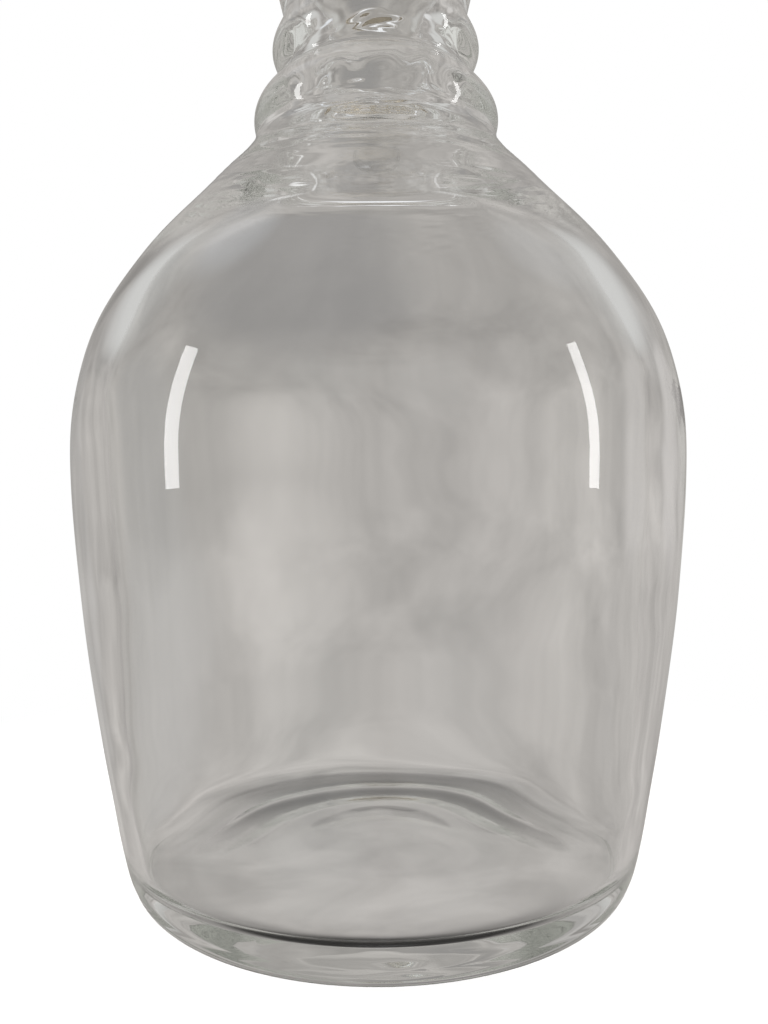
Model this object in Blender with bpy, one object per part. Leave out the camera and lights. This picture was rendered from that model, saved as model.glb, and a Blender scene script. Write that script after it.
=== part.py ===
"""Glass carboy with a drilled rubber bung and a three-piece airlock.

One-gallon class, blown in one piece: a thick-walled body that widens
upwards from a heavy base to a full belly, a conical shoulder and a neck of
stacked rings.  The closure lifts off in order: cap, float, airlock, bung.

Metres, +Z up, origin at the centre of the resting plane, all pieces turned
about the Z axis.
"""

import math

import bmesh
import bpy

MM = 0.001

# ------------------------------------------------------------ glass, outside
BODY_RADIUS = 95.0 * MM          # belly, widest point
BELLY_Z = 135.3 * MM
HEEL_RADIUS = 10.5 * MM          # rounding between wall and underside
HEEL_CENTRE_R = 69.9 * MM        # also the outer edge of the bearing ring
HEEL_LEAN = 7.7                  # degrees the wall flares out above the heel
BEARING_WIDTH = 6.9 * MM         # flat ring that the vessel stands on
PUNT_RISE = 3.4 * MM             # hollow under the base

# Stations up the outside: radius, height, degrees the wall leans inwards.
WALL_FOOT = (83.15 * MM, 24.0 * MM, -7.7)
WALL_LOW = (87.3 * MM, 50.0 * MM, -7.8)
WALL_HIGH = (92.6 * MM, 92.4 * MM, -4.8)
BELLY = (BODY_RADIUS, BELLY_Z, 0.0)
SHOULDER_LOW = (90.5 * MM, 163.9 * MM, 16.0)
SHOULDER_MID = (74.9 * MM, 192.2 * MM, 35.3)
SHOULDER_HIGH = (51.5 * MM, 218.4 * MM, 39.8)
CREASE = (38.3 * MM, 236.6 * MM, 0.0)

# Neck rings from the shoulder up: radius and height of the crest, then the
# radius and height of the groove above it, and the lean on both sides of it.
NECK_RINGS = (
    (39.0 * MM, 240.3 * MM, 29.5 * MM, 254.3 * MM, 51.8, -21.6),
    (33.0 * MM, 263.0 * MM, 29.1 * MM, 273.5 * MM, 18.7, -9.3),
    (31.6 * MM, 288.0 * MM, 28.8 * MM, 297.8 * MM, 24.0, -20.0),
)
LIP_RADIUS = 30.4 * MM
LIP_CREST_Z = 304.8 * MM
LIP_TOP_Z = 312.0 * MM

# ------------------------------------------------------------- glass, inside
WALL_LOWER = 8.6 * MM            # wall at WALL_LOW, and so on upwards
WALL_SIDE = 10.0 * MM
WALL_BELLY = 10.9 * MM
WALL_SHOULDER = 9.4 * MM
WALL_UPPER = 8.4 * MM
WALL_NECK_ROOT = 9.8 * MM
FLOOR_Z = 11.6 * MM              # inside floor at the corner with the wall
FLOOR_DOME = 2.2 * MM            # rise of the floor at the centre
FLOOR_EDGE_R = 70.0 * MM
FLOOR_CORNER_TOP = (75.2 * MM, 17.4 * MM, -9.0)
CEILING = (29.5 * MM, 226.0 * MM, 50.0)
BORE_ROOT = (18.9 * MM, 233.4 * MM)
BORE_RADIUS = 18.2 * MM          # straight part of the neck bore
BORE_TAPER_Z = 291.0 * MM        # the bung's seat starts here
BORE_MOUTH_R = 19.6 * MM

# ------------------------------------------------------------------- closure
GAP = 0.3 * MM                   # running gap between touching pieces
BUNG_BOTTOM_Z = 297.0 * MM
BUNG_TOP_Z = 323.0 * MM
BUNG_BOTTOM_R = 17.9 * MM
BUNG_TOP_R = 20.5 * MM
BUNG_HOLE_R = 4.8 * MM
BUNG_EDGE = 0.8 * MM

STEM_BOTTOM_Z = 291.5 * MM
STEM_BOTTOM_R = 4.15 * MM
STEM_TOP_R = 4.6 * MM
STEM_BORE_R = 3.1 * MM
CHAMBER_FLOOR_Z = 336.0 * MM     # outside of the chamber floor
CHAMBER_TOP_Z = 378.0 * MM
CHAMBER_LOW_R = 18.9 * MM
CHAMBER_HIGH_R = 20.0 * MM
CHAMBER_WALL = 1.6 * MM
RISER_TOP_Z = 362.0 * MM
RISER_R = 5.4 * MM

FLOAT_BOTTOM_Z = 339.0 * MM
FLOAT_TOP_Z = 371.0 * MM
FLOAT_R = 10.6 * MM
FLOAT_WALL = 1.2 * MM
FLOAT_NOTCH = 2.6 * MM

CAP_SKIRT_Z = 369.0 * MM
CAP_TOP_Z = 381.0 * MM
CAP_R = 22.0 * MM
CAP_WALL = 1.5 * MM
VENT_R = 1.3 * MM
VENT_CIRCLE_R = 13.5 * MM
VENTS = 4

GLASS_STEPS = 40
CLOSURE_STEPS = 24


def clear_scene():
    for obj in list(bpy.data.objects):
        bpy.data.objects.remove(obj, do_unlink=True)


def material(name, colour, roughness, transmission=0.0, ior=1.5):
    made = bpy.data.materials.new(name)
    made.use_nodes = True
    shader = made.node_tree.nodes["Principled BSDF"]
    shader.inputs["Base Color"].default_value = (*colour, 1.0)
    shader.inputs["Metallic"].default_value = 0.0
    shader.inputs["Roughness"].default_value = roughness
    shader.inputs["IOR"].default_value = ior
    shader.inputs["Transmission Weight"].default_value = transmission
    made.diffuse_color = (*colour, 1.0)
    return made


def blend(low, high, steps, pull=0.36):
    """A smooth run between two stations, without its first point."""
    (r0, z0, lean0), (r1, z1, lean1) = low, high
    reach = math.hypot(r1 - r0, z1 - z0) * pull
    a, b = math.radians(lean0), math.radians(lean1)
    handle0 = (r0 - math.sin(a) * reach, z0 + math.cos(a) * reach)
    handle1 = (r1 + math.sin(b) * reach, z1 - math.cos(b) * reach)
    points = []
    for i in range(1, steps + 1):
        t = i / steps
        u = 1.0 - t
        weights = (u * u * u, 3 * t * u * u, 3 * t * t * u, t * t * t)
        points.append(
            tuple(
                sum(w * p[k] for w, p in zip(weights, ((r0, z0), handle0, handle1, (r1, z1))))
                for k in (0, 1)
            )
        )
    return points


def arc(centre_r, centre_z, radius, start, end, steps):
    """Points on a circle in the profile plane, angles in degrees from +R towards +Z."""
    points = []
    for i in range(steps + 1):
        angle = math.radians(start + (end - start) * i / steps)
        points.append((centre_r + radius * math.cos(angle), centre_z + radius * math.sin(angle)))
    return points


def inset(station, wall):
    """The station on the inside face, a wall thickness in along the normal."""
    r, z, lean = station
    a = math.radians(lean)
    return (r - wall * math.cos(a), z - wall * math.sin(a), lean)


def glass_outside():
    """From the centre of the underside, out and up to the lip's crest."""
    bearing_inner = HEEL_CENTRE_R - BEARING_WIDTH
    points = [(0.0, PUNT_RISE), (bearing_inner * 0.55, PUNT_RISE * 0.8)]
    points += [(bearing_inner * 0.93, PUNT_RISE * 0.3), (bearing_inner, 0.0)]
    heel = arc(HEEL_CENTRE_R, HEEL_RADIUS, HEEL_RADIUS, -90.0, -HEEL_LEAN, 5)
    points += heel
    here = (heel[-1][0], heel[-1][1], -HEEL_LEAN)
    for station, steps in (
        (WALL_FOOT, 1),
        (WALL_LOW, 2),
        (WALL_HIGH, 2),
        (BELLY, 3),
        (SHOULDER_LOW, 4),
        (SHOULDER_MID, 4),
        (SHOULDER_HIGH, 3),
        (CREASE, 3),
    ):
        points += blend(here, station, steps)
        here = station
    lean = -22.4
    for crest_r, crest_z, groove_r, groove_z, below, above in NECK_RINGS:
        start = (points[-1][0], points[-1][1], lean)
        crest = (crest_r, crest_z, 0.0)
        points += blend(start, crest, 2)
        points += blend(crest, (groove_r, groove_z, below), 4)
        lean = above
    start = (points[-1][0], points[-1][1], lean)
    points += blend(start, (LIP_RADIUS, LIP_CREST_Z, 0.0), 2)
    return points


def glass_inside():
    """From the lip's crest over the mouth and down the inside to the floor centre."""
    lip = [
        (LIP_RADIUS - 0.9 * MM, LIP_CREST_Z + 4.0 * MM),
        (LIP_RADIUS - 3.4 * MM, LIP_TOP_Z - 0.7 * MM),
        (LIP_RADIUS - 6.2 * MM, LIP_TOP_Z),
        (BORE_MOUTH_R + 1.6 * MM, LIP_TOP_Z - 0.5 * MM),
        (BORE_MOUTH_R, LIP_TOP_Z - 2.0 * MM),
        (BORE_RADIUS, BORE_TAPER_Z),
        (BORE_RADIUS, BORE_ROOT[1] + 8.0 * MM),
    ]
    up = []  # the inside, floor to bore root
    dome_steps = 3
    for i in range(dome_steps):
        t = i / dome_steps
        up.append((FLOOR_EDGE_R * t, FLOOR_Z + FLOOR_DOME * (1.0 - t * t)))
    edge = (FLOOR_EDGE_R, FLOOR_Z, -88.0)
    up.append(edge[:2])
    up += blend(edge, FLOOR_CORNER_TOP, 4, 0.42)
    here = FLOOR_CORNER_TOP
    for station, steps in (
        (inset(WALL_LOW, WALL_LOWER), 2),
        (inset(WALL_HIGH, WALL_SIDE), 2),
        (inset(BELLY, WALL_BELLY), 2),
        (inset(SHOULDER_LOW, WALL_SHOULDER), 3),
        (inset(SHOULDER_MID, WALL_UPPER), 3),
        (inset(SHOULDER_HIGH, WALL_NECK_ROOT), 2),
        (CEILING, 2),
        ((BORE_ROOT[0], BORE_ROOT[1], 30.0), 3),
    ):
        up += blend(here, station, steps)
        here = station
    return lip + up[::-1]


def turned(name, profile, steps, mat):
    """A solid of revolution. The profile runs down the outer side, top to bottom."""
    mesh = bpy.data.meshes.new(name)
    shape = bmesh.new()
    corners = [shape.verts.new((r, 0.0, z)) for r, z in profile]
    on_axis = profile[0][0] < 1e-7 and profile[-1][0] < 1e-7
    pairs = list(zip(corners, corners[1:]))
    if not on_axis:
        pairs.append((corners[-1], corners[0]))
    for a, b in pairs:
        shape.edges.new((a, b))
    shape.to_mesh(mesh)
    shape.free()
    obj = bpy.data.objects.new(name, mesh)
    bpy.context.scene.collection.objects.link(obj)
    screw = obj.modifiers.new("turn", "SCREW")
    screw.axis = "Z"
    screw.angle = 2.0 * math.pi
    screw.screw_offset = 0.0
    screw.steps = steps
    screw.render_steps = steps
    screw.use_merge_vertices = True
    screw.merge_threshold = 0.00001
    screw.use_smooth_shade = True
    mesh.materials.append(mat)
    return obj


def cutter(name, size, location, spin=0.0):
    """A hidden box that cuts a slot."""
    mesh = bpy.data.meshes.new(name)
    shape = bmesh.new()
    bmesh.ops.create_cube(shape, size=1.0)
    bmesh.ops.scale(shape, vec=size, verts=shape.verts)
    shape.to_mesh(mesh)
    shape.free()
    obj = bpy.data.objects.new(name, mesh)
    obj.location = location
    obj.rotation_euler = (0.0, 0.0, spin)
    bpy.context.scene.collection.objects.link(obj)
    obj.hide_render = True
    obj.display_type = "WIRE"
    return obj


def drill(name, radius, depth, location, sides=8):
    """A hidden round bar that cuts a hole along Z."""
    mesh = bpy.data.meshes.new(name)
    shape = bmesh.new()
    bmesh.ops.create_cone(
        shape, cap_ends=True, segments=sides, radius1=radius, radius2=radius, depth=depth
    )
    shape.to_mesh(mesh)
    shape.free()
    obj = bpy.data.objects.new(name, mesh)
    obj.location = location
    bpy.context.scene.collection.objects.link(obj)
    obj.hide_render = True
    obj.display_type = "WIRE"
    return obj


def cut(obj, tool):
    boolean = obj.modifiers.new("cut_" + tool.name, "BOOLEAN")
    boolean.operation = "DIFFERENCE"
    boolean.solver = "EXACT"
    boolean.object = tool


def glass_vessel():
    profile = glass_inside()[::-1] + glass_outside()[::-1]
    return turned(
        "glass_vessel", profile, GLASS_STEPS, material("clear_glass", (0.90, 0.93, 0.90), 0.02, 1.0, 1.52)
    )


def rubber_bung():
    """Tapered stopper with a hole for the airlock stem."""
    e = BUNG_EDGE
    profile = [
        (BUNG_HOLE_R, BUNG_TOP_Z),
        (BUNG_TOP_R - e, BUNG_TOP_Z),
        (BUNG_TOP_R, BUNG_TOP_Z - e),
        (BUNG_BOTTOM_R + 0.02 * MM, BUNG_BOTTOM_Z + e),
        (BUNG_BOTTOM_R - e, BUNG_BOTTOM_Z),
        (BUNG_HOLE_R, BUNG_BOTTOM_Z),
    ]
    return turned("rubber_bung", profile, CLOSURE_STEPS, material("gum_rubber", (0.62, 0.58, 0.50), 0.7))


def airlock_body():
    """Stem, chamber and the riser tube in the middle of the chamber."""
    floor_top = CHAMBER_FLOOR_Z + CHAMBER_WALL
    profile = [
        (CHAMBER_HIGH_R - CHAMBER_WALL, CHAMBER_TOP_Z),
        (CHAMBER_HIGH_R, CHAMBER_TOP_Z),
        (CHAMBER_LOW_R, CHAMBER_FLOOR_Z + 3.0 * MM),
        (CHAMBER_LOW_R - 2.6 * MM, CHAMBER_FLOOR_Z),
        (STEM_TOP_R + 2.6 * MM, CHAMBER_FLOOR_Z),
        (STEM_TOP_R, CHAMBER_FLOOR_Z - 3.0 * MM),
        (STEM_BOTTOM_R, STEM_BOTTOM_Z),
        (STEM_BORE_R, STEM_BOTTOM_Z),
        (STEM_BORE_R, RISER_TOP_Z),
        (RISER_R - 0.5 * MM, RISER_TOP_Z),
        (RISER_R, floor_top),
        (CHAMBER_LOW_R - CHAMBER_WALL - 2.0 * MM, floor_top),
        (CHAMBER_LOW_R - CHAMBER_WALL, floor_top + 2.2 * MM),
    ]
    return turned(
        "airlock_body", profile, CLOSURE_STEPS, material("clear_plastic", (0.92, 0.93, 0.94), 0.08, 1.0, 1.49)
    )


def airlock_float():
    """Inverted cup that sits over the riser tube, notched at its lower rim."""
    profile = [
        (0.0, FLOAT_TOP_Z),
        (FLOAT_R - 1.6 * MM, FLOAT_TOP_Z),
        (FLOAT_R, FLOAT_TOP_Z - 1.6 * MM),
        (FLOAT_R, FLOAT_BOTTOM_Z),
        (FLOAT_R - FLOAT_WALL, FLOAT_BOTTOM_Z),
        (FLOAT_R - FLOAT_WALL, FLOAT_TOP_Z - 2.4 * MM),
        (FLOAT_R - FLOAT_WALL - 0.9 * MM, FLOAT_TOP_Z - 1.5 * MM),
        (0.0, FLOAT_TOP_Z - 1.5 * MM),
    ]
    cup = turned("airlock_float", profile, CLOSURE_STEPS, material("float_plastic", (0.86, 0.86, 0.84), 0.35))
    for i in range(2):
        tool = cutter(
            f"float_notch_{i}",
            (2.0 * FLOAT_R + 4.0 * MM, 3.0 * MM, 2.0 * FLOAT_NOTCH),
            (0.0, 0.0, FLOAT_BOTTOM_Z),
            math.radians(90.0 * i + 7.5),
        )
        cut(cup, tool)
    return cup


def airlock_cap():
    """Push-on lid with vent holes."""
    inner = CHAMBER_HIGH_R + GAP
    under = CHAMBER_TOP_Z + GAP
    profile = [
        (0.0, CAP_TOP_Z),
        (CAP_R - 1.4 * MM, CAP_TOP_Z),
        (CAP_R, CAP_TOP_Z - 1.2 * MM),
        (CAP_R, CAP_SKIRT_Z),
        (inner, CAP_SKIRT_Z),
        (inner, under),
        (0.0, under),
    ]
    lid = turned("airlock_cap", profile, CLOSURE_STEPS, material("cap_plastic", (0.86, 0.86, 0.84), 0.35))
    for i in range(VENTS):
        angle = 2.0 * math.pi * (i + 0.5) / VENTS + math.radians(7.5)
        tool = drill(
            f"vent_{i}",
            VENT_R,
            12.0 * MM,
            (VENT_CIRCLE_R * math.cos(angle), VENT_CIRCLE_R * math.sin(angle), CAP_TOP_Z - 1.0 * MM),
        )
        cut(lid, tool)
    return lid


def main():
    clear_scene()
    glass = glass_vessel()
    axis = bpy.data.objects.new("axis", None)
    bpy.context.scene.collection.objects.link(axis)
    closure = [rubber_bung(), airlock_body(), airlock_float(), airlock_cap()]
    parents = {"rubber_bung": glass, "airlock_body": closure[0], "airlock_float": closure[1], "airlock_cap": closure[1]}
    for piece in closure:
        piece.parent = parents[piece.name]
    glass.parent = axis


main()
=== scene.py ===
import math

import bmesh
import bpy
import numpy as np
from mathutils import Matrix, Vector


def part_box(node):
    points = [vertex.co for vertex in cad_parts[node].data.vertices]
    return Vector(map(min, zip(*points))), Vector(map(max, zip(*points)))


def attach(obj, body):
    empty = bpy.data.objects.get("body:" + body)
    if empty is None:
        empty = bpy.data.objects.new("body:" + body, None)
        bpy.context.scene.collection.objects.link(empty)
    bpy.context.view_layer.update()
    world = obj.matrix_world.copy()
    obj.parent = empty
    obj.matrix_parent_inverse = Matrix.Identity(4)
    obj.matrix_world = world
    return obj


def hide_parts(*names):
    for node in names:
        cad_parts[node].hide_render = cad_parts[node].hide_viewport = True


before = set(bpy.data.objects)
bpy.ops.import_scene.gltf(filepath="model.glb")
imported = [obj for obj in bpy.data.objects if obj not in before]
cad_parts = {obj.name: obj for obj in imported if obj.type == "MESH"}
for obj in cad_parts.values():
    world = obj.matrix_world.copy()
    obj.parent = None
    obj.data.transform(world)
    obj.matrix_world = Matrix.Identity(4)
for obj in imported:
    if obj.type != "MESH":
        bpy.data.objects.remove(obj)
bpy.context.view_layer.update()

GLASS_LOW, GLASS_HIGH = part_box("glass_vessel")
BUNG_LOW, BUNG_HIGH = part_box("rubber_bung")
AIR_LOW, AIR_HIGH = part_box("airlock_body")
FLOAT_LOW, FLOAT_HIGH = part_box("airlock_float")
CAP_LOW, CAP_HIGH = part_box("airlock_cap")
MM = 0.001
R_BODY = GLASS_HIGH.x                      # widest radius of the vessel
Z0 = GLASS_LOW.z                           # plane that it stands on
Z_TOP = GLASS_HIGH.z                       # top of the lip


# --------------------------------------------------------------------------
# profiles
# --------------------------------------------------------------------------
def blend(low, high, pull=0.36, steps=40):
    """A smooth run between two stations (radius, height, lean in degrees), in mm, without its first point."""
    (r0, z0, lean0), (r1, z1, lean1) = low, high
    reach = math.hypot(r1 - r0, z1 - z0) * pull
    a, b = math.radians(lean0), math.radians(lean1)
    p = np.array([
        (r0, z0),
        (r0 - math.sin(a) * reach, z0 + math.cos(a) * reach),
        (r1 + math.sin(b) * reach, z1 - math.cos(b) * reach),
        (r1, z1),
    ])
    t = np.linspace(0, 1, steps + 1)[1:, None]
    u = 1 - t
    return u**3 * p[0] + 3 * t * u**2 * p[1] + 3 * t**2 * u * p[2] + t**3 * p[3]


def arc(cr, cz, radius, start, end, steps=30):
    a = np.radians(np.linspace(start, end, steps + 1))
    return np.stack([cr + radius * np.cos(a), cz + radius * np.sin(a)], 1)


def inset(station, wall):
    r, z, lean = station
    a = math.radians(lean)
    return (r - wall * math.cos(a), z - wall * math.sin(a), lean)


def chain(start, stations):
    runs, here = [], start
    for station in stations:
        runs.append(blend(here, station))
        here = station
    return np.vstack(runs)


def along(points):
    step = np.hypot(*np.diff(points, axis=0).T)
    return np.concatenate([[0.0], np.cumsum(step)])


def soften(points, sigma_of, pitch=0.25):
    """Resamples a profile that starts and ends on the axis and rounds it, by a width in mm that may change along it."""
    s = along(points)
    keep = np.concatenate([[True], np.diff(s) > 1e-9])
    points, s = points[keep], s[keep]
    n = int(s[-1] / pitch)
    t = np.linspace(0, s[-1], n)
    fine = np.stack([np.interp(t, s, points[:, 0]), np.interp(t, s, points[:, 1])], 1)
    sigma = np.array([sigma_of(*p) for p in fine])
    sigma = np.convolve(np.pad(sigma, 12, mode="edge"), np.ones(25) / 25, mode="valid")
    margin = min(60, n - 1)
    head = fine[1 : margin + 1][::-1] * [-1, 1]
    tail = fine[-margin - 1 : -1][::-1] * [-1, 1]
    padded = np.vstack([head, fine, tail])
    u = np.concatenate([-t[1 : margin + 1][::-1], t, 2 * t[-1] - t[-margin - 1 : -1][::-1]])
    out = np.empty_like(fine)
    for i in range(n):
        w = np.exp(-0.5 * ((u - t[i]) / sigma[i]) ** 2)
        out[i] = (w[:, None] * padded).sum(0) / w.sum()
    out[0, 0] = out[-1, 0] = 0.0
    return out


def spread(points, count, bend_weight=14.0):
    """Picks count points along the line, closer together where it bends."""
    s = along(points)
    d = np.gradient(points, axis=0)
    angle = np.unwrap(np.arctan2(d[:, 1], d[:, 0]))
    bend = np.abs(np.gradient(angle))
    bend = np.convolve(np.pad(bend, 6, mode="edge"), np.ones(13) / 13, mode="valid")
    close = 1.0 + 2.4 * ((points[:, 1] > 228) & (points[:, 0] < 24) & (points[:, 1] < 300))
    close = close + 1.5 * ((points[:, 1] > 205) & (points[:, 1] < 240) & (points[:, 0] > 36))
    weight = np.concatenate([[0.0], np.cumsum(np.diff(s) * close[1:] + bend_weight * bend[1:])])
    t = np.interp(np.linspace(0, weight[-1], count), weight, s)
    return np.stack([np.interp(t, s, points[:, 0]), np.interp(t, s, points[:, 1])], 1)


# --------------------------------------------------------------------------
# meshes
# --------------------------------------------------------------------------
def lathe(name, profile, segments, shift=None):
    """Turns a profile, in mm, about Z. One that doesn't start and end on the axis is closed on itself. shift(r, z, angle, index) gives moved r and z."""
    profile = np.asarray(profile, float)
    closed = profile[0, 0] > 1e-6
    first, last = (0, len(profile)) if closed else (1, len(profile) - 1)
    rows = np.arange(first, last)
    angle = np.linspace(0, 2 * np.pi, segments, endpoint=False)
    rr, aa = np.meshgrid(profile[rows, 0], angle, indexing="ij")
    zz = np.repeat(profile[rows, 1][:, None], segments, 1)
    if shift is not None:
        rr, zz = shift(rr, zz, aa, rows)
    verts = np.stack([rr * np.cos(aa), rr * np.sin(aa), zz], -1).reshape(-1, 3) * MM
    m = len(rows)
    j = np.arange(segments)
    k = (j + 1) % segments
    faces = []
    for i in range(m - 1):
        faces += np.stack([i * segments + j, (i + 1) * segments + j, (i + 1) * segments + k, i * segments + k], 1).tolist()
    verts = verts.tolist()
    if closed:
        i = m - 1
        faces += np.stack([i * segments + j, j, k, i * segments + k], 1).tolist()
    else:
        top, low = len(verts), len(verts) + 1
        verts += [(0, 0, profile[0, 1] * MM), (0, 0, profile[-1, 1] * MM)]
        faces += [(top, int(a), int(b)) for a, b in zip(j, k)]
        base = (m - 1) * segments
        faces += [(low, int(base + b), int(base + a)) for a, b in zip(j, k)]
    mesh = bpy.data.meshes.new(name)
    mesh.from_pydata(verts, [], faces)
    mesh.validate()
    mesh.shade_smooth()
    obj = bpy.data.objects.new(name, mesh)
    bpy.context.scene.collection.objects.link(obj)
    return obj


def waves(seed, count, turns, pitch):
    """A smooth bumpy field over angle and height, about -1 to 1. turns is the range of waves round the axis, pitch the range of their height in mm."""
    rng = np.random.default_rng(seed)
    orders = rng.integers(turns[0], turns[1] + 1, count)
    rate = 2 * np.pi / rng.uniform(pitch[0], pitch[1], count) * rng.choice([-1, 1], count)
    phase = rng.uniform(0, 2 * np.pi, count)
    size = rng.uniform(0.5, 1.0, count)

    def field(angle, height):
        total = np.zeros_like(angle)
        for m, k, p, s in zip(orders, rate, phase, size):
            total += s * np.sin(m * angle + k * height + p)
        return total / math.sqrt((size**2).sum() / 2) / 2.0

    return field


def smoothstep(x, low, high):
    t = np.clip((x - low) / (high - low), 0, 1)
    return t * t * (3 - 2 * t)


# ----------------------------------------------------------- glass vessel
HEEL = (69.9, 10.5, 7.7)                  # centre radius, rounding, lean
BEARING = 6.9
PUNT = 3.4
WALL_FOOT = (83.15, 24.0, -7.7)
WALL_LOW = (87.3, 50.0, -7.8)
WALL_HIGH = (92.6, 92.4, -4.8)
BELLY = (95.0, 135.3, 0.0)
SHOULDER_LOW = (90.5, 163.9, 16.0)
SHOULDER_MID = (74.9, 192.2, 35.3)
SHOULDER_HIGH = (51.5, 218.4, 39.8)
CREASE = (38.3, 236.6, 0.0)
NECK_RINGS = (
    (39.0, 240.3, 29.5, 254.3, 51.8, -21.6),
    (33.0, 263.0, 29.1, 273.5, 18.7, -9.3),
    (31.6, 288.0, 28.8, 297.8, 24.0, -20.0),
)
FLOOR_Z, FLOOR_DOME, FLOOR_EDGE = 11.6, 2.2, 70.0
FLOOR_CORNER = (75.2, 17.4, -9.0)
CEILING = (29.5, 226.0, 50.0)
BORE_ROOT = (18.9, 233.4)
BORE_R, BORE_TAPER, BORE_MOUTH = 18.2, 291.0, 19.6


def glass_profile():
    outer = [np.array([(0.0, PUNT)])]
    inner_edge = HEEL[0] - BEARING
    t = np.linspace(0, 1, 60)[1:]
    r = inner_edge * t
    dome = PUNT * (1 - t**2.4)
    rings = 0.05 * np.exp(-((r - 21) / 3.6) ** 2) + 0.06 * np.exp(-((r - 41) / 4.0) ** 2)
    outer.append(np.stack([r, np.maximum(dome + rings * (1 - t**6), 0)], 1))
    outer.append(arc(HEEL[0], HEEL[1], HEEL[1], -90, -HEEL[2]))
    end = outer[-1][-1]
    outer.append(chain((end[0], end[1], -HEEL[2]), (WALL_FOOT, WALL_LOW, WALL_HIGH, BELLY, SHOULDER_LOW, SHOULDER_MID, SHOULDER_HIGH, CREASE)))
    lean = -22.4
    for crest_r, crest_z, groove_r, groove_z, below, above in NECK_RINGS:
        start = (*outer[-1][-1], lean)
        outer.append(blend(start, (crest_r, crest_z, 0.0)))
        outer.append(blend((crest_r, crest_z, 0.0), (groove_r, groove_z, below)))
        lean = above
    outer.append(blend((*outer[-1][-1], lean), (30.4, 304.8, 0.0)))
    outer.append(blend((30.4, 304.8, 0.0), (24.4, 312.0, 88.0), 0.45))
    outer = np.vstack(outer)
    t = np.linspace(0, 1, 120, endpoint=False)
    r = FLOOR_EDGE * t
    ripple = 0.10 * np.exp(-((r - 26.6) / 2.0) ** 2) - 0.05 * np.exp(-((r - 33.0) / 3.0) ** 2)
    ripple += 0.07 * np.exp(-((r - 57.5) / 1.8) ** 2) + 0.03 * np.exp(-((r - 45.0) / 2.4) ** 2)
    floor = np.stack([r, FLOOR_Z + FLOOR_DOME * (1 - t * t) + ripple], 1)
    inner = [floor, np.array([(FLOOR_EDGE, FLOOR_Z)])]
    inner.append(blend((FLOOR_EDGE, FLOOR_Z, -88.0), FLOOR_CORNER, 0.42))
    inner.append(chain(FLOOR_CORNER, (
        inset(WALL_LOW, 8.6), inset(WALL_HIGH, 10.0), inset(BELLY, 10.9), inset(SHOULDER_LOW, 9.4),
        inset(SHOULDER_MID, 8.4), inset(SHOULDER_HIGH, 9.8), CEILING, (*BORE_ROOT, 30.0),
    )))
    inner.append(np.array([(BORE_R, BORE_ROOT[1] + 6.0), (BORE_R, BORE_TAPER), (BORE_MOUTH, 310.0), (BORE_MOUTH + 1.6, 311.5), (24.4, 312.0)]))
    inner = np.vstack(inner)
    return np.vstack([inner, outer[::-1]])


def rounding(r, z):
    if z > 236.5:
        return 0.9
    if z > 231 and r > 30:
        return 1.1
    if z < 3.6 or (z < 24 and r < 78):
        return 0.9
    return 4.0


def build_glass():
    line = soften(glass_profile(), rounding)
    line[:, 1] = np.clip(line[:, 1], 0.0, 312.0)
    line = spread(line, 620)
    turn = int(np.argmax(line[:, 1]))      # rows before this are the inside face
    thick = waves(3, 9, (1, 3), (70.0, 190.0))
    cord = waves(11, 34, (1, 9), (14.0, 60.0))
    skin = waves(23, 22, (1, 5), (30.0, 110.0))
    drag = waves(31, 60, (3, 15), (1.5, 3.8))
    low_ring = waves(41, 8, (1, 4), (8.0, 40.0))
    combing = waves(57, 60, (3, 15), (1.7, 4.2))

    def shift(r, z, a, rows):
        inside = (rows <= turn)[:, None]
        wall = smoothstep(z, 16, 40) * (1 - smoothstep(z, 222, 236))
        d = np.where(inside, 0.34 * thick(a, z) + 0.045 * cord(a, z), 0.035 * skin(a, z)) * wall
        bore = smoothstep(z, 229, 234) * (1 - 0.8 * smoothstep(z, 256, 268)) * (1 - smoothstep(z, 280, 290)) * (r < 24)
        d = d + np.where(inside, 0.15 * drag(a, z) * bore, 0.0)
        crease = smoothstep(z, 210, 218) * (1 - smoothstep(z, 235, 239)) * (r > 36)
        d = d + np.where(inside, 0.0, 0.07 * combing(a, z) * crease)
        neck = smoothstep(z, 236, 242) * (1 - smoothstep(z, 296, 306)) * (r > 24)
        d = d + np.where(inside, 0.0, 0.16 * low_ring(a, z) * neck)
        floor = inside & (z < 16) & (r < 72)
        up = np.where(floor, 0.05 * cord(a * 1.0, r * 0.9) * smoothstep(r, 6, 20), 0.0)
        return r + d, z + up

    glass = lathe("carboy_glass", line, 224, shift)
    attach(glass, "vessel")
    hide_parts("glass_vessel")
    return glass


# ----------------------------------------------------------- closure pieces
def rounded(points, radii, closed, steps=5):
    """The outline with its corners rounded. radii holds one radius for each point, 0 leaves it."""
    pts = [np.array(p, float) for p in points]
    n = len(pts)
    out = []
    for i, (p, radius) in enumerate(zip(pts, radii)):
        if radius <= 0 or (not closed and i in (0, n - 1)):
            out.append(p)
            continue
        a, b = pts[i - 1] - p, pts[(i + 1) % n] - p
        la, lb = np.hypot(*a), np.hypot(*b)
        half = 0.5 * math.acos(max(-1.0, min(1.0, float(a @ b) / (la * lb))))
        reach = min(radius / math.tan(max(half, 0.05)), 0.46 * la, 0.46 * lb)
        start, end = p + a / la * reach, p + b / lb * reach
        for t in np.linspace(0, 1, steps + 1):
            out.append((1 - t) ** 2 * start + 2 * t * (1 - t) * p + t * t * end)
    return np.array(out)


def divided(points, pitch, closed):
    """The outline with points added so that none are further apart than pitch."""
    out = []
    n = len(points)
    for i in range(n if closed else n - 1):
        a, b = points[i], points[(i + 1) % n]
        parts = max(1, int(math.ceil(np.hypot(*(b - a)) / pitch)))
        out += [a + (b - a) * k / parts for k in range(parts)]
    if not closed:
        out.append(points[-1])
    return np.array(out)


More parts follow.
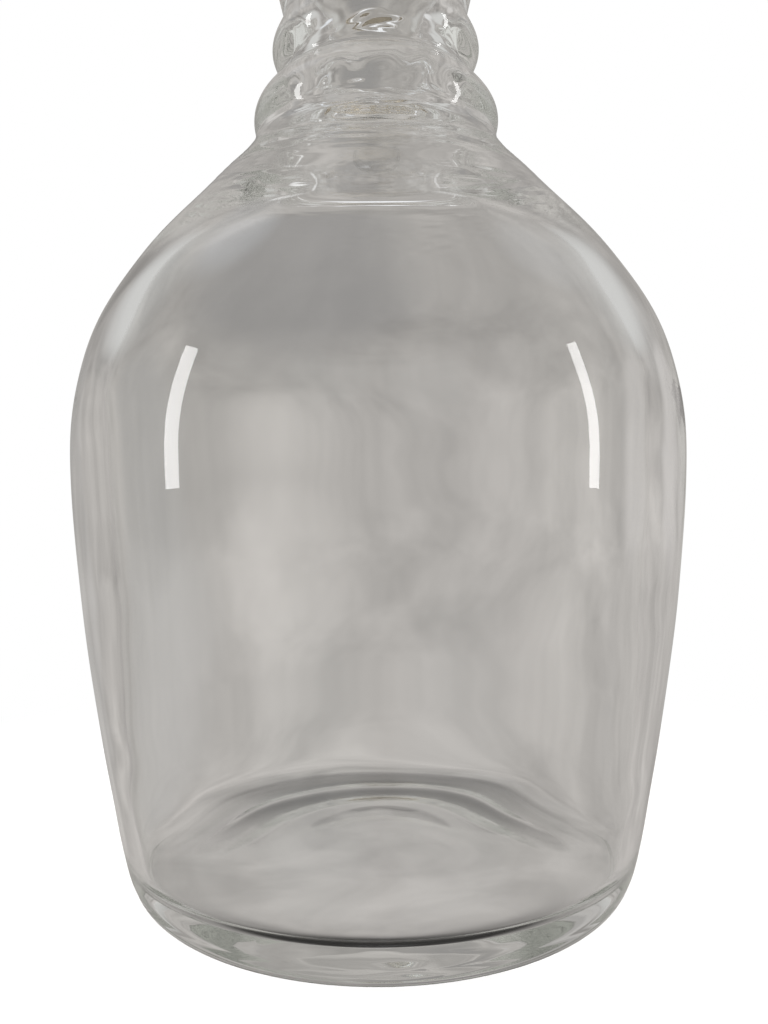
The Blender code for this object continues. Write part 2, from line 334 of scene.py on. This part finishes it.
def ridge(x, at, height, half_width):
    return height * np.exp(-(((x - at) / half_width) ** 2))


def near(angle, count, first=0.0):
    """Degrees to the nearest of count evenly spaced directions, the first at first degrees."""
    step = 360.0 / count
    return np.abs((np.degrees(angle) - first + step / 2) % step - step / 2)


def build_bung():
    low, high = BUNG_LOW.z / MM, BUNG_HIGH.z / MM
    r_low, r_high, hole = BUNG_HIGH.x / MM - 2.6, BUNG_HIGH.x / MM, 4.8
    line = rounded([(hole, low), (hole, high), (r_high, high), (r_low, low)], (0.5, 0.7, 1.0, 0.9), True)
    line = divided(line, 0.45, True)
    r, z = line[:, 0], line[:, 1]
    on_top = (z > high - 0.01) & (r > hole + 0.8)
    line[:, 1] = np.where(on_top, z - 0.45 * smoothstep(r, hole + 1.2, hole + 2.6) * (1 - smoothstep(r, r_high - 3.2, r_high - 1.4)), z)
    side = r > 15.0
    line[:, 0] = np.where(side & (z < high - 1.2) & (z > low + 1.2), r + ridge(z, low + 13.5, 0.16, 0.35), r)
    lumps = waves(71, 30, (2, 14), (3.0, 16.0))

    def shift(r, z, a, rows):
        flash = ridge(near(a, 2), 0.0, 0.09, 1.0) * (r > 15.0) * (z < high - 1.0)
        return r + np.where(r > 15.0, 0.035 * lumps(a, z), 0.0) + flash, z + np.where(z > high - 1.0, 0.02 * lumps(a, r), 0.0)

    piece = lathe("bung_rubber", line, 180, shift)
    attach(piece, "bung")
    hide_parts("rubber_bung")
    return piece


def build_airlock():
    stem_low, top = AIR_LOW.z / MM, AIR_HIGH.z / MM
    r_top = AIR_HIGH.x / MM
    base = top - 42.0
    floor_top, riser = base + 1.6, top - 16.0
    line = rounded(
        [
            (3.1, stem_low), (3.1, riser), (4.9, riser), (5.4, floor_top), (15.3, floor_top), (r_top - 2.7, floor_top + 2.4),
            (r_top - 1.6, top), (r_top, top), (r_top - 1.1, base + 3.0), (r_top - 3.7, base), (7.2, base), (4.6, base - 3.0), (4.15, stem_low),
        ],
        (0.3, 0.5, 0.4, 1.3, 2.0, 1.6, 0.6, 0.5, 2.2, 1.6, 1.8, 1.6, 0.4), True,
    )
    line = divided(line, 0.4, True)
    r, z = line[:, 0], line[:, 1]
    outside = (r > r_top - 1.35) & (z > base + 4.0)
    marks = ridge(z, top - 26.0, 0.26, 0.3) + ridge(z, top - 20.5, 0.26, 0.3) + ridge(z, top - 11.2, 0.75, 0.55)
    line[:, 0] = np.where(outside, r + marks, r)
    seam = waves(83, 16, (2, 7), (8.0, 30.0))

    def shift(r, z, a, rows):
        outer_stem = (r > 3.7) & (z < base - 0.2) & (r < 9.0)
        fin = np.exp(-((near(a, 4, 45.0) / 5.0) ** 2)) * smoothstep(z, base - 15.0, base - 1.0) * 3.2
        wall = (r > r_top - 1.35) & (z > base + 3.0)
        return r + np.where(outer_stem, fin, 0.0) + np.where(wall, ridge(near(a, 2), 0.0, 0.1, 0.9) + 0.02 * seam(a, z), 0.0), z

    piece = lathe("airlock_chamber", line, 240, shift)
    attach(piece, "airlock")
    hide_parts("airlock_body")
    return piece


def build_float():
    low, top = FLOAT_LOW.z / MM, FLOAT_HIGH.z / MM
    r_out = FLOAT_HIGH.x / MM
    r_in = r_out - 1.2
    line = rounded(
        [
            (0.0, top), (2.2, top), (2.7, top - 0.8), (7.3, top - 0.8), (7.8, top), (r_out - 1.5, top), (r_out, top - 1.5),
            (r_out, low), (r_in, low), (r_in, top - 2.4), (r_in - 0.9, top - 1.5), (0.0, top - 1.5),
        ],
        (0, 0.5, 0.3, 0.3, 0.3, 0.6, 0.8, 0.4, 0.4, 0.6, 0.5, 0), False,
    )
    line = divided(line, 0.4, False)
    r, z = line[:, 0], line[:, 1]
    line[:, 0] = np.where((r > r_out - 0.1) & (z < top - 3.0), r - ridge(z, low + 9.0, 0.22, 0.5) - ridge(z, top - 6.0, 0.22, 0.5), r)

    def shift(r, z, a, rows):
        lift = 2.6 * (1 - smoothstep(near(a, 4, 7.5), 8.0, 9.4))
        reach = np.clip((low + 9.0 - z) / 9.0, 0, 1) * (r > r_in - 0.2)
        return r, z + lift * reach

    piece = lathe("float_bell", line, 288, shift)
    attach(piece, "float")
    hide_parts("airlock_float")
    return piece


def build_cap():
    low, top = CAP_LOW.z / MM, CAP_HIGH.z / MM
    r_out = CAP_HIGH.x / MM
    r_in, under = r_out - 1.7, top - 2.7
    line = rounded(
        [
            (0.0, top - 0.5), (6.6, top - 0.5), (7.1, top), (9.2, top), (9.7, top - 0.6), (17.2, top - 0.6), (18.0, top),
            (r_out - 1.3, top), (r_out, top - 1.3), (r_out, low), (r_in, low), (r_in, under), (0.0, under),
        ],
        (0, 0.3, 0.3, 0.3, 0.3, 0.4, 0.4, 0.8, 0.8, 0.5, 0.4, 0.5, 0), False,
    )
    line = divided(line, 0.45, False)

    def shift(r, z, a, rows):
        grip = (r > r_out - 0.2) * smoothstep(z, low + 1.2, low + 2.4) * (1 - smoothstep(z, top - 3.2, top - 2.0))
        return r - 0.38 * grip * (0.5 - 0.5 * np.cos(60 * a)) ** 2, z

    piece = lathe("cap_lid", line, 360, shift)
    drills = []
    for k in range(4):
        a = math.radians(52.5 + 90.0 * k)
        shape = bmesh.new()
        bmesh.ops.create_cone(shape, cap_ends=True, segments=32, radius1=1.3 * MM, radius2=1.3 * MM, depth=12 * MM)
        mesh = bpy.data.meshes.new("vent")
        shape.to_mesh(mesh)
        shape.free()
        tool = bpy.data.objects.new("vent", mesh)
        tool.location = (13.5 * MM * math.cos(a), 13.5 * MM * math.sin(a), (top - 1.0) * MM)
        bpy.context.scene.collection.objects.link(tool)
        drills.append(tool)
        hole = piece.modifiers.new("vent", "BOOLEAN")
        hole.operation, hole.solver, hole.object = "DIFFERENCE", "EXACT", tool
    bpy.context.view_layer.update()
    made = bpy.data.meshes.new_from_object(piece.evaluated_get(bpy.context.evaluated_depsgraph_get()))
    piece.modifiers.clear()
    piece.data = made
    piece.data.shade_smooth()
    piece.data.set_sharp_from_angle(angle=math.radians(38))
    for tool in drills:
        bpy.data.objects.remove(tool, do_unlink=True)
    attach(piece, "cap")
    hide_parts("airlock_cap")
    return piece


# --------------------------------------------------------------------------
# materials
# --------------------------------------------------------------------------
def new_material(name):
    mat = bpy.data.materials.new(name)
    mat.use_nodes = True
    tree = mat.node_tree
    tree.nodes.clear()
    out = tree.nodes.new("ShaderNodeOutputMaterial")
    shader = tree.nodes.new("ShaderNodeBsdfPrincipled")
    tree.links.new(shader.outputs[0], out.inputs[0])
    return mat, tree, shader, out


def node(tree, kind, **values):
    made = tree.nodes.new(kind)
    for key, value in values.items():
        if key in made.inputs:
            made.inputs[key].default_value = value
        else:
            setattr(made, key, value)
    return made


def ramp_node(tree, low, high, at=(0.35, 0.65)):
    ramp = node(tree, "ShaderNodeValToRGB")
    for element, position, colour in zip(ramp.color_ramp.elements, at, (low, high)):
        element.position = position
        element.color = (*colour, 1) if isinstance(colour, tuple) else (colour, colour, colour, 1)
    return ramp


def noise_node(tree, coord, scale, detail=2.0, stretch=(1.0, 1.0, 1.0), roughness=0.5):
    """Noise in the piece's own coordinates, in metres: scale is about the number of blotches in a metre."""
    turn = node(tree, "ShaderNodeMapping")
    turn.inputs["Scale"].default_value = stretch
    noise = node(tree, "ShaderNodeTexNoise", Scale=scale, Detail=detail, Roughness=roughness)
    tree.links.new(coord.outputs["Object"], turn.inputs[0])
    tree.links.new(turn.outputs[0], noise.inputs["Vector"])
    return noise


def glass_material():
    mat, tree, shader, out = new_material("carboy_glass_mat")
    shader.inputs["Roughness"].default_value = 0.0
    shader.inputs["IOR"].default_value = 1.5
    shader.inputs["Transmission Weight"].default_value = 1.0
    coord = node(tree, "ShaderNodeTexCoord")
    streak = noise_node(tree, coord, 9.0, 2.0, (1.0, 1.0, 0.55))
    ramp = ramp_node(tree, (0.993, 0.996, 0.991), (1.0, 1.0, 1.0), (0.3, 0.6))
    tree.links.new(streak.outputs["Fac"], ramp.inputs[0])
    tree.links.new(ramp.outputs[0], shader.inputs["Base Color"])
    cords = noise_node(tree, coord, 26.0, 2.0, (1.0, 1.0, 0.45), 0.55)
    bump = node(tree, "ShaderNodeBump", Strength=0.06, Distance=0.0012)
    tree.links.new(cords.outputs["Fac"], bump.inputs["Height"])
    tree.links.new(bump.outputs[0], shader.inputs["Normal"])
    absorb = node(tree, "ShaderNodeVolumeAbsorption")
    absorb.inputs["Color"].default_value = (0.62, 0.78, 0.62, 1)
    absorb.inputs["Density"].default_value = 0.35
    tree.links.new(absorb.outputs[0], out.inputs["Volume"])
    return mat


def rubber_material():
    mat, tree, shader, out = new_material("bung_rubber_mat")
    coord = node(tree, "ShaderNodeTexCoord")
    cloud = noise_node(tree, coord, 120.0, 5.0, roughness=0.6)
    tint = ramp_node(tree, (0.47, 0.40, 0.30), (0.63, 0.56, 0.44), (0.3, 0.7))
    tree.links.new(cloud.outputs["Fac"], tint.inputs[0])
    speck = noise_node(tree, coord, 1500.0, 2.0)
    dust = ramp_node(tree, (0.80, 0.78, 0.74), (1.0, 1.0, 1.0), (0.38, 0.5))
    tree.links.new(speck.outputs["Fac"], dust.inputs[0])
    both = node(tree, "ShaderNodeMix", data_type="RGBA", blend_type="MULTIPLY")
    both.inputs["Factor"].default_value = 0.7
    tree.links.new(tint.outputs[0], both.inputs["A"])
    tree.links.new(dust.outputs[0], both.inputs["B"])
    tree.links.new(both.outputs["Result"], shader.inputs["Base Color"])
    rough = ramp_node(tree, 0.52, 0.80, (0.3, 0.7))
    tree.links.new(cloud.outputs["Fac"], rough.inputs[0])
    tree.links.new(rough.outputs[0], shader.inputs["Roughness"])
    bump = node(tree, "ShaderNodeBump", Strength=0.5, Distance=0.00008)
    tree.links.new(speck.outputs["Fac"], bump.inputs["Height"])
    tree.links.new(bump.outputs[0], shader.inputs["Normal"])
    return mat


def moulded_material(name, low, high, rough, clear=False):
    mat, tree, shader, out = new_material(name)
    coord = node(tree, "ShaderNodeTexCoord")
    flow = noise_node(tree, coord, 90.0, 3.0, (1.0, 1.0, 0.4))
    tint = ramp_node(tree, low, high)
    tree.links.new(flow.outputs["Fac"], tint.inputs[0])
    tree.links.new(tint.outputs[0], shader.inputs["Base Color"])
    scuff = noise_node(tree, coord, 420.0, 4.0, (1.0, 1.0, 2.5), 0.65)
    dull = ramp_node(tree, rough[0], rough[1], (0.45, 0.72))
    tree.links.new(scuff.outputs["Fac"], dull.inputs[0])
    tree.links.new(dull.outputs[0], shader.inputs["Roughness"])
    peel = noise_node(tree, coord, 700.0, 1.0)
    bump = node(tree, "ShaderNodeBump", Strength=0.12, Distance=0.00006)
    tree.links.new(peel.outputs["Fac"], bump.inputs["Height"])
    tree.links.new(bump.outputs[0], shader.inputs["Normal"])
    shader.inputs["IOR"].default_value = 1.49
    if clear:
        shader.inputs["Transmission Weight"].default_value = 1.0
    return mat


# --------------------------------------------------------------------------
# camera at the photograph's viewing angle
# --------------------------------------------------------------------------
EYE_Z = Z0 + 1.30 * R_BODY
EYE_BACK = 3.087 * R_BODY
FOCAL_PX = 900.0
FRAME_LONG = 1024.0


def make_camera():
    data = bpy.data.cameras.new("camera")
    data.sensor_width = 36.0
    data.lens = 36.0 * FOCAL_PX / FRAME_LONG
    data.clip_start, data.clip_end = 0.01, 100.0
    cam = bpy.data.objects.new("camera", data)
    bpy.context.scene.collection.objects.link(cam)
    pitch, yaw, roll = math.radians(-1.40), math.radians(0.29), math.radians(0.48)
    # looks along +Y; yaw turns the view towards +X, so the axis lands left of centre
    turn = Matrix.Rotation(-yaw, 4, "Z") @ Matrix.Rotation(math.radians(90) + pitch, 4, "X") @ Matrix.Rotation(roll * CAM_ROLL_SIGN, 4, "Z")
    cam.matrix_world = Matrix.Translation((0.0, -EYE_BACK, EYE_Z)) @ turn
    bpy.context.scene.camera = cam
    return cam


CAM_ROLL_SIGN = -1.0


# --------------------------------------------------------------------------
# stage: pale floor, soft studio light
# --------------------------------------------------------------------------
def room_colour(tree):
    """The room round the vessel: warm grey walls with soft blotches, a paler ceiling, and a few dark and bright places."""
    coord = node(tree, "ShaderNodeTexCoord")
    axes = node(tree, "ShaderNodeSeparateXYZ")
    tree.links.new(coord.outputs["Generated"], axes.inputs[0])

    def maths(kind, a, b, clamp=False):
        made = node(tree, "ShaderNodeMath", operation=kind, use_clamp=clamp)
        for socket, value in zip(made.inputs, (a, b)):
            if isinstance(value, (int, float)):
                socket.default_value = value
            else:
                tree.links.new(value, socket)
        return made.outputs[0]

    height = node(tree, "ShaderNodeValToRGB")
    stops = height.color_ramp.elements
    levels = ((0.0, 0.40), (0.28, 0.44), (0.42, 0.43), (0.50, 0.465), (0.56, 0.38), (0.63, 0.33), (0.78, 0.36), (0.88, 0.42), (1.0, 0.48))
    for k, (position, value) in enumerate(levels):
        stop = stops[k] if k < 2 else stops.new(position)
        stop.position, stop.color = position, (value * 1.045, value, value * 0.955, 1)
    tree.links.new(maths("MULTIPLY_ADD", axes.outputs[2], 0.5), height.inputs[0])
    height.inputs[0].links[0].from_node.inputs[2].default_value = 0.5

    blotch = node(tree, "ShaderNodeTexNoise", Scale=4.2, Detail=4.0, Roughness=0.55, Distortion=0.4)
    tree.links.new(coord.outputs["Generated"], blotch.inputs["Vector"])
    spread_out = ramp_node(tree, 0.72, 1.28, (0.32, 0.68))
    tree.links.new(blotch.outputs["Fac"], spread_out.inputs[0])
    shade = node(tree, "ShaderNodeMix", data_type="RGBA", blend_type="MULTIPLY")
    shade.inputs["Factor"].default_value = 1.0
    tree.links.new(height.outputs[0], shade.inputs["A"])
    tree.links.new(spread_out.outputs[0], shade.inputs["B"])
    total = shade.outputs["Result"]

    for azimuth, elevation, width, gain, tint in PATCHES:
        a, e = math.radians(azimuth), math.radians(elevation)
        towards = (math.cos(e) * math.sin(a), math.cos(e) * math.cos(a), math.sin(e))
        dot = node(tree, "ShaderNodeVectorMath", operation="DOT_PRODUCT")
        dot.inputs[1].default_value = towards
        tree.links.new(coord.outputs["Generated"], dot.inputs[0])
        edge = node(tree, "ShaderNodeMapRange", interpolation_type="SMOOTHSTEP")
        edge.inputs["From Min"].default_value = math.cos(math.radians(width))
        edge.inputs["From Max"].default_value = math.cos(math.radians(width * 0.35))
        tree.links.new(dot.outputs["Value"], edge.inputs["Value"])
        mix = node(tree, "ShaderNodeMix", data_type="RGBA", blend_type="MIX")
        tree.links.new(edge.outputs[0], mix.inputs["Factor"])
        tree.links.new(total, mix.inputs["A"])
        mix.inputs["B"].default_value = (gain * tint[0], gain * tint[1], gain * tint[2], 1)
        total = mix.outputs["Result"]
    return total


# azimuth from +Y towards +X, elevation, half width in degrees, brightness, tint
PATCHES = (
    (-8.0, 17.0, 13.0, 0.28, (1.03, 1.0, 0.98)),
    (-27.0, -8.0, 14.0, 0.475, (1.03, 1.0, 0.97)),
    (-56.0, 30.0, 20.0, 0.62, (1.0, 1.0, 0.98)),
    (56.0, 30.0, 20.0, 0.62, (1.0, 1.0, 0.98)),
    (-27.0, 3.0, 10.0, 0.37, (1.03, 1.0, 0.97)),
    (38.0, 3.0, 11.0, 0.60, (1.04, 1.0, 0.97)),
    (0.0, 57.0, 6.0, 1.15, (0.98, 1.0, 1.04)),
    (-19.0, 50.0, 3.5, 1.0, (1.0, 1.0, 1.0)),
    (17.0, 52.0, 3.5, 1.0, (1.0, 1.0, 1.0)),
    (-70.0, 55.0, 14.0, 0.85, (0.97, 1.0, 1.05)),
    (75.0, 50.0, 14.0, 0.75, (1.0, 1.0, 1.0)),
    (180.0, 48.0, 16.0, 0.28, (1.0, 0.98, 0.96)),
    (-152.0, -34.0, 26.0, 0.72, (1.0, 1.0, 0.97)),
    (150.0, -34.0, 26.0, 0.66, (1.0, 1.0, 0.97)),
)


def make_stage():
    scene = bpy.context.scene
    scene.view_settings.view_transform = "Standard"
    cycles = scene.cycles
    cycles.max_bounces = cycles.transmission_bounces = cycles.glossy_bounces = 72
    cycles.sample_clamp_indirect = 14.0
    mesh = bpy.data.meshes.new("floor")
    shape = bmesh.new()
    bmesh.ops.create_circle(shape, cap_ends=True, segments=96, radius=14.0)
    shape.to_mesh(mesh)
    shape.free()
    floor = bpy.data.objects.new("floor", mesh)
    floor.location.z = Z0 - 0.0002
    scene.collection.objects.link(floor)

    # The camera sees a pale floor that runs out into white. Rays that come through the glass see, close to the vessel,
    # a glowing floor with painted shade on it, darkest in a painted shadow ring under its heel, and further out the
    # room.
    mat = bpy.data.materials.new("floor_mat")
    mat.use_nodes = True
    tree = mat.node_tree
    tree.nodes.clear()
    out = node(tree, "ShaderNodeOutputMaterial")
    coord = node(tree, "ShaderNodeTexCoord")
    reach = node(tree, "ShaderNodeVectorMath", operation="LENGTH")
    tree.links.new(coord.outputs["Object"], reach.inputs[0])
    pale = node(tree, "ShaderNodeBsdfDiffuse", Color=(0.92, 0.92, 0.92, 1))
    white = node(tree, "ShaderNodeEmission", Color=(1, 1, 1, 1), Strength=1.0)
    fade = node(tree, "ShaderNodeMapRange", interpolation_type="SMOOTHSTEP")
    fade.inputs["From Min"].default_value = 1.15 * R_BODY
    fade.inputs["From Max"].default_value = 3.0 * R_BODY
    tree.links.new(reach.outputs["Value"], fade.inputs["Value"])
    seen = node(tree, "ShaderNodeMixShader")
    tree.links.new(fade.outputs[0], seen.inputs[0])
    tree.links.new(pale.outputs[0], seen.inputs[1])
    tree.links.new(white.outputs[0], seen.inputs[2])

    # Painted shadow: the floor seen through the glass goes near-black in a ring under the heel, with grey either side.
    painted_heel_shadow = node(tree, "ShaderNodeValToRGB")
    painted_heel_shadow.color_ramp.interpolation = "EASE"
    stops = painted_heel_shadow.color_ramp.elements
    heel = HEEL[0] * MM / 0.12
    levels = ((0.0, 0.50), (heel - 0.12, 0.46), (heel - 0.06, 0.003), (heel + 0.045, 0.003), (heel + 0.12, 0.34), (1.0, 0.46))
    for k, (position, value) in enumerate(levels):
        stop = stops[k] if k < 2 else stops.new(position)
        stop.position, stop.color = position, (value * 1.045, value, value * 0.955, 1)
    scaled = node(tree, "ShaderNodeMath", operation="DIVIDE")
    scaled.inputs[1].default_value = 0.12
    tree.links.new(reach.outputs["Value"], scaled.inputs[0])
    tree.links.new(scaled.outputs[0], painted_heel_shadow.inputs[0])
    # Painted shade by side: the dark ring shows fully at the front and partly at the back, and at the sides it gives
    # way to a flat painted grey.
    axes = node(tree, "ShaderNodeSeparateXYZ")
    tree.links.new(coord.outputs["Object"], axes.inputs[0])
    across = node(tree, "ShaderNodeMapRange")
    across.inputs["From Min"].default_value, across.inputs["From Max"].default_value = -R_BODY, R_BODY
    tree.links.new(axes.outputs[1], across.inputs["Value"])
    shadow_by_side_mask = node(tree, "ShaderNodeValToRGB")
    shadow_by_side_mask.color_ramp.interpolation = "EASE"
    stops = shadow_by_side_mask.color_ramp.elements
    for k, (position, value) in enumerate(((0.15, 0.0), (0.215, 0.55), (0.32, 0.88), (0.68, 0.84), (0.84, 0.22))):
        stop = stops[k] if k < 2 else stops.new(position)
        stop.position, stop.color = position, (value, value, value, 1)
    tree.links.new(across.outputs[0], shadow_by_side_mask.inputs[0])
    painted_floor_shade = node(tree, "ShaderNodeMix", data_type="RGBA", blend_type="MIX")
    tree.links.new(shadow_by_side_mask.outputs[0], painted_floor_shade.inputs["Factor"])
    tree.links.new(painted_heel_shadow.outputs[0], painted_floor_shade.inputs["A"])
    painted_floor_shade.inputs["B"].default_value = (0.48, 0.46, 0.44, 1)
    stone = node(tree, "ShaderNodeTexNoise", Scale=26.0, Detail=3.0, Roughness=0.5, Distortion=0.8)
    tree.links.new(coord.outputs["Object"], stone.inputs["Vector"])
    mottle = ramp_node(tree, 0.80, 1.14, (0.34, 0.66))
    tree.links.new(stone.outputs["Fac"], mottle.inputs[0])
    mottled_painted_shade = node(tree, "ShaderNodeMix", data_type="RGBA", blend_type="MULTIPLY")
    mottled_painted_shade.inputs["Factor"].default_value = 1.0
    tree.links.new(painted_floor_shade.outputs["Result"], mottled_painted_shade.inputs["A"])
    tree.links.new(mottle.outputs[0], mottled_painted_shade.inputs["B"])
    # The floor glows with this painted light and shade, plus random mottling, for rays through the glass only.
    under = node(tree, "ShaderNodeEmission", Strength=1.0)
    tree.links.new(mottled_painted_shade.outputs["Result"], under.inputs["Color"])
    through = node(tree, "ShaderNodeBsdfTransparent")
    edge = node(tree, "ShaderNodeMapRange", interpolation_type="SMOOTHSTEP")
    edge.inputs["From Min"].default_value = 0.98 * R_BODY
    edge.inputs["From Max"].default_value = 1.16 * R_BODY
    tree.links.new(reach.outputs["Value"], edge.inputs["Value"])
    unseen = node(tree, "ShaderNodeMixShader")
    tree.links.new(edge.outputs[0], unseen.inputs[0])
    tree.links.new(under.outputs[0], unseen.inputs[1])
    tree.links.new(through.outputs[0], unseen.inputs[2])

    path = node(tree, "ShaderNodeLightPath")
    mix = node(tree, "ShaderNodeMixShader")
    tree.links.new(path.outputs["Is Camera Ray"], mix.inputs[0])
    tree.links.new(unseen.outputs[0], mix.inputs[1])
    tree.links.new(seen.outputs[0], mix.inputs[2])
    tree.links.new(mix.outputs[0], out.inputs[0])
    mat.cycles.emission_sampling = "NONE"
    mesh.materials.append(mat)

    world = bpy.data.worlds.new("studio")
    scene.world = world
    world.use_nodes = True
    tree = world.node_tree
    tree.nodes.clear()
    out = node(tree, "ShaderNodeOutputWorld")
    seen = node(tree, "ShaderNodeBackground", Color=(1, 1, 1, 1), Strength=1.0)
    room = node(tree, "ShaderNodeBackground", Strength=1.0)
    tree.links.new(room_colour(tree), room.inputs["Color"])
    path = node(tree, "ShaderNodeLightPath")
    mix = node(tree, "ShaderNodeMixShader")
    tree.links.new(path.outputs["Is Camera Ray"], mix.inputs[0])
    tree.links.new(room.outputs[0], mix.inputs[1])
    tree.links.new(seen.outputs[0], mix.inputs[2])
    tree.links.new(mix.outputs[0], out.inputs[0])

    key = bpy.data.lights.new("overhead", "AREA")
    key.energy = 34.0
    key.shape = "RECTANGLE"
    key.size, key.size_y = 1.6, 1.6
    lamp = bpy.data.objects.new("overhead", key)
    lamp.location = (-0.3, -0.4, 1.7)
    lamp.rotation_euler = Vector((-0.3, -0.4, 1.6)).to_track_quat("Z", "Y").to_euler()
    scene.collection.objects.link(lamp)
    lamp.visible_glossy = lamp.visible_transmission = False
    lamp.visible_camera = False

    # a tall softbox either side
    for name, azimuth, width, watts in (("softbox_left", -72.0, 0.16, 3.7), ("softbox_right", 76.0, 0.12, 2.7)):
        box = bpy.data.lights.new(name, "AREA")
        box.energy = watts
        box.shape = "RECTANGLE"
        box.size, box.size_y = width, 0.9
        stand = bpy.data.objects.new(name, box)
        a = math.radians(azimuth)
        stand.location = (1.5 * math.sin(a), -1.5 * math.cos(a), 0.50)
        stand.rotation_euler = Vector((stand.location.x, stand.location.y, 0.0)).to_track_quat("Z", "Y").to_euler()
        scene.collection.objects.link(stand)
        stand.visible_camera = stand.visible_transmission = False


glass = build_glass()
glass.data.materials.append(glass_material())
glass.visible_shadow = False
bung = build_bung()
bung.data.materials.append(rubber_material())
airlock = build_airlock()
airlock.data.materials.append(moulded_material("airlock_clear_mat", (0.955, 0.965, 0.97), (1.0, 1.0, 1.0), (0.03, 0.10), clear=True))
bell = build_float()
bell.data.materials.append(moulded_material("float_mat", (0.70, 0.70, 0.675), (0.78, 0.78, 0.76), (0.28, 0.46)))
cap = build_cap()
cap.data.materials.append(moulded_material("cap_mat", (0.60, 0.60, 0.58), (0.68, 0.68, 0.665), (0.26, 0.44)))
camera = make_camera()
make_stage()
bpy.context.view_layer.update()
